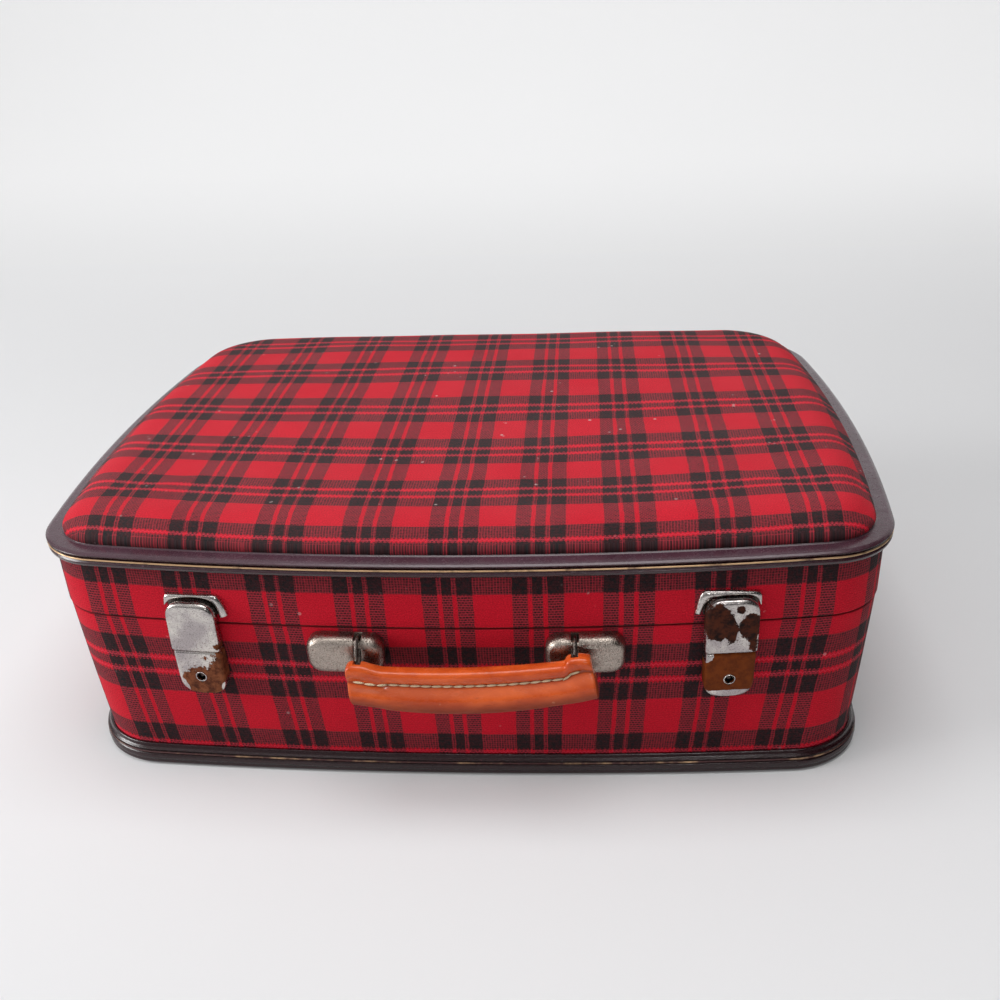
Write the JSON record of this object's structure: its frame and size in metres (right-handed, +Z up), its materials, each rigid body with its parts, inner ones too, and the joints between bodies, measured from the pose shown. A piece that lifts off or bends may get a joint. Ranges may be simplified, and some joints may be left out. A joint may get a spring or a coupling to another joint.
{
  "type": "suitcase",
  "caption": "Small padded suitcase lying flat: crowned cloth lid on rear hinges with folding stays, bound edges, key latches and a leather handle on wire rings.",
  "frame": {"origin": "middle of the underside, on the surface the case lies on", "axes": "+X along the length, to the right seen from the handle side; +Y from the handle side to the hinge side; +Z up"},
  "size_m": [0.4578, 0.363, 0.1535],
  "materials": {
    "cloth": "red woven check, matte",
    "binding": "dark maroon, softly glossy",
    "trim": "pale gold line, satin",
    "board": "pressed board, matte",
    "lining": "plain pale lining paper",
    "wadding": "soft cotton wadding",
    "chrome": "worn plate with brown wear",
    "steel": "dull steel",
    "leather": "tan leather, polished by use"
  },
  "bodies": {
    "base": {"base_bottom_cloth": "cloth", "base_bottom_board": "board", "base_wall_board": "board", "base_wall_cloth": "cloth", "base_lining": "lining", "base_dust_lip": "binding", "base_binding": "binding", "base_trim_line": "trim", "hinge_base_leaf_left": "steel", "hinge_pin_left": "steel", "latch_backplate_left": "steel", "latch_pin_left": "steel", "latch_case_left": "chrome", "latch_key_post_left": "steel", "hasp_spring_left": "steel", "handle_plate_left": "chrome", "stay_base_bracket_left": "steel", "hinge_base_leaf_right": "steel", "hinge_pin_right": "steel", "latch_backplate_right": "steel", "latch_pin_right": "steel", "latch_case_right": "chrome", "latch_key_post_right": "steel", "hasp_spring_right": "steel", "handle_plate_right": "chrome", "stay_base_bracket_right": "steel"},
    "lid": {"lid_wall_board": "board", "lid_wall_cloth": "cloth", "lid_top_board": "board", "lid_top_wadding": "wadding", "lid_top_cloth": "cloth", "lid_lining": "lining", "lid_binding": "binding", "lid_trim_line": "trim", "hinge_lid_leaf_left": "steel", "keeper_left": "chrome", "stay_lid_bracket_left": "steel", "hinge_lid_leaf_right": "steel", "keeper_right": "chrome", "stay_lid_bracket_right": "steel"},
    "hasp_left": {"hasp_left": "chrome"},
    "lock_bolt_left": {"lock_bolt_left": "steel"},
    "handle_ring_left": {"handle_ring_left": "steel"},
    "stay_lower_left": {"stay_lower_arm_left": "steel", "stay_rivet_left": "steel"},
    "stay_upper_left": {"stay_upper_arm_left": "steel"},
    "hasp_right": {"hasp_right": "chrome"},
    "lock_bolt_right": {"lock_bolt_right": "steel"},
    "handle_ring_right": {"handle_ring_right": "steel"},
    "stay_lower_right": {"stay_lower_arm_right": "steel", "stay_rivet_right": "steel"},
    "stay_upper_right": {"stay_upper_arm_right": "steel"},
    "grip": {"handle_grip": "leather", "handle_core": "steel"}
  },
  "joints": [
    {"name": "lid_hinge", "type": "hinge", "parent": "base", "child": "lid", "pos_m": [0, 0.1705, 0.098], "axis": [-1, 0, 0], "range_deg": [0, 105]},
    {"name": "hasp_left", "type": "hinge", "parent": "base", "child": "hasp_left", "pos_m": [-0.13491, -0.16645, 0.08605], "axis": [0.9959, -0.0906, 0], "range_deg": [0, 90]},
    {"name": "lock_bolt_left", "type": "slide", "parent": "base", "child": "lock_bolt_left", "axis": [-0.006, -0.0662, 0.9978], "range_m": [0, 0.0025]},
    {"name": "ring_left", "type": "hinge", "parent": "base", "child": "handle_ring_left", "pos_m": [-0.0489, -0.17217, 0.092], "axis": [-1, 0, 0], "range_deg": [0, 110]},
    {"name": "stay_lower_left", "type": "hinge", "parent": "base", "child": "stay_lower_left", "pos_m": [-0.2073, 0.0905, 0.04], "axis": [-1, 0, 0], "range_deg": [0, 105]},
    {"name": "stay_upper_left", "type": "hinge", "parent": "stay_lower_left", "child": "stay_upper_left", "pos_m": [-0.2061, -0.004, 0.0545], "axis": [-1, 0, 0], "range_deg": [-105, 0]},
    {"name": "hasp_right", "type": "hinge", "parent": "base", "child": "hasp_right", "pos_m": [0.13732, -0.16623, 0.08606], "axis": [0.9957, 0.0922, 0], "range_deg": [0, 90]},
    {"name": "lock_bolt_right", "type": "slide", "parent": "base", "child": "lock_bolt_right", "axis": [0.006, -0.0651, 0.9979], "range_m": [0, 0.0025]},
    {"name": "ring_right", "type": "hinge", "parent": "base", "child": "handle_ring_right", "pos_m": [0.0601, -0.17217, 0.092], "axis": [-1, 0, 0], "range_deg": [0, 110]},
    {"name": "stay_lower_right", "type": "hinge", "parent": "base", "child": "stay_lower_right", "pos_m": [0.2073, 0.0905, 0.04], "axis": [-1, 0, 0], "range_deg": [0, 105]},
    {"name": "stay_upper_right", "type": "hinge", "parent": "stay_lower_right", "child": "stay_upper_right", "pos_m": [0.2061, -0.004, 0.0545], "axis": [-1, 0, 0], "range_deg": [-105, 0]},
    {"name": "grip_pivot", "type": "hinge", "parent": "handle_ring_left", "child": "grip", "pos_m": [-0.0444, -0.18296, 0.076], "axis": [-1, 0, 0], "range_deg": [-8, 24]}
  ],
  "couplings": [
    {"joint": "stay_lower_left", "follows": "lid_hinge", "ratio": 1},
    {"joint": "stay_upper_left", "follows": "lid_hinge", "ratio": -1},
    {"joint": "stay_lower_right", "follows": "lid_hinge", "ratio": 1},
    {"joint": "stay_upper_right", "follows": "lid_hinge", "ratio": -1},
    {"joint": "ring_right", "follows": "ring_left", "ratio": 1}
  ]
}
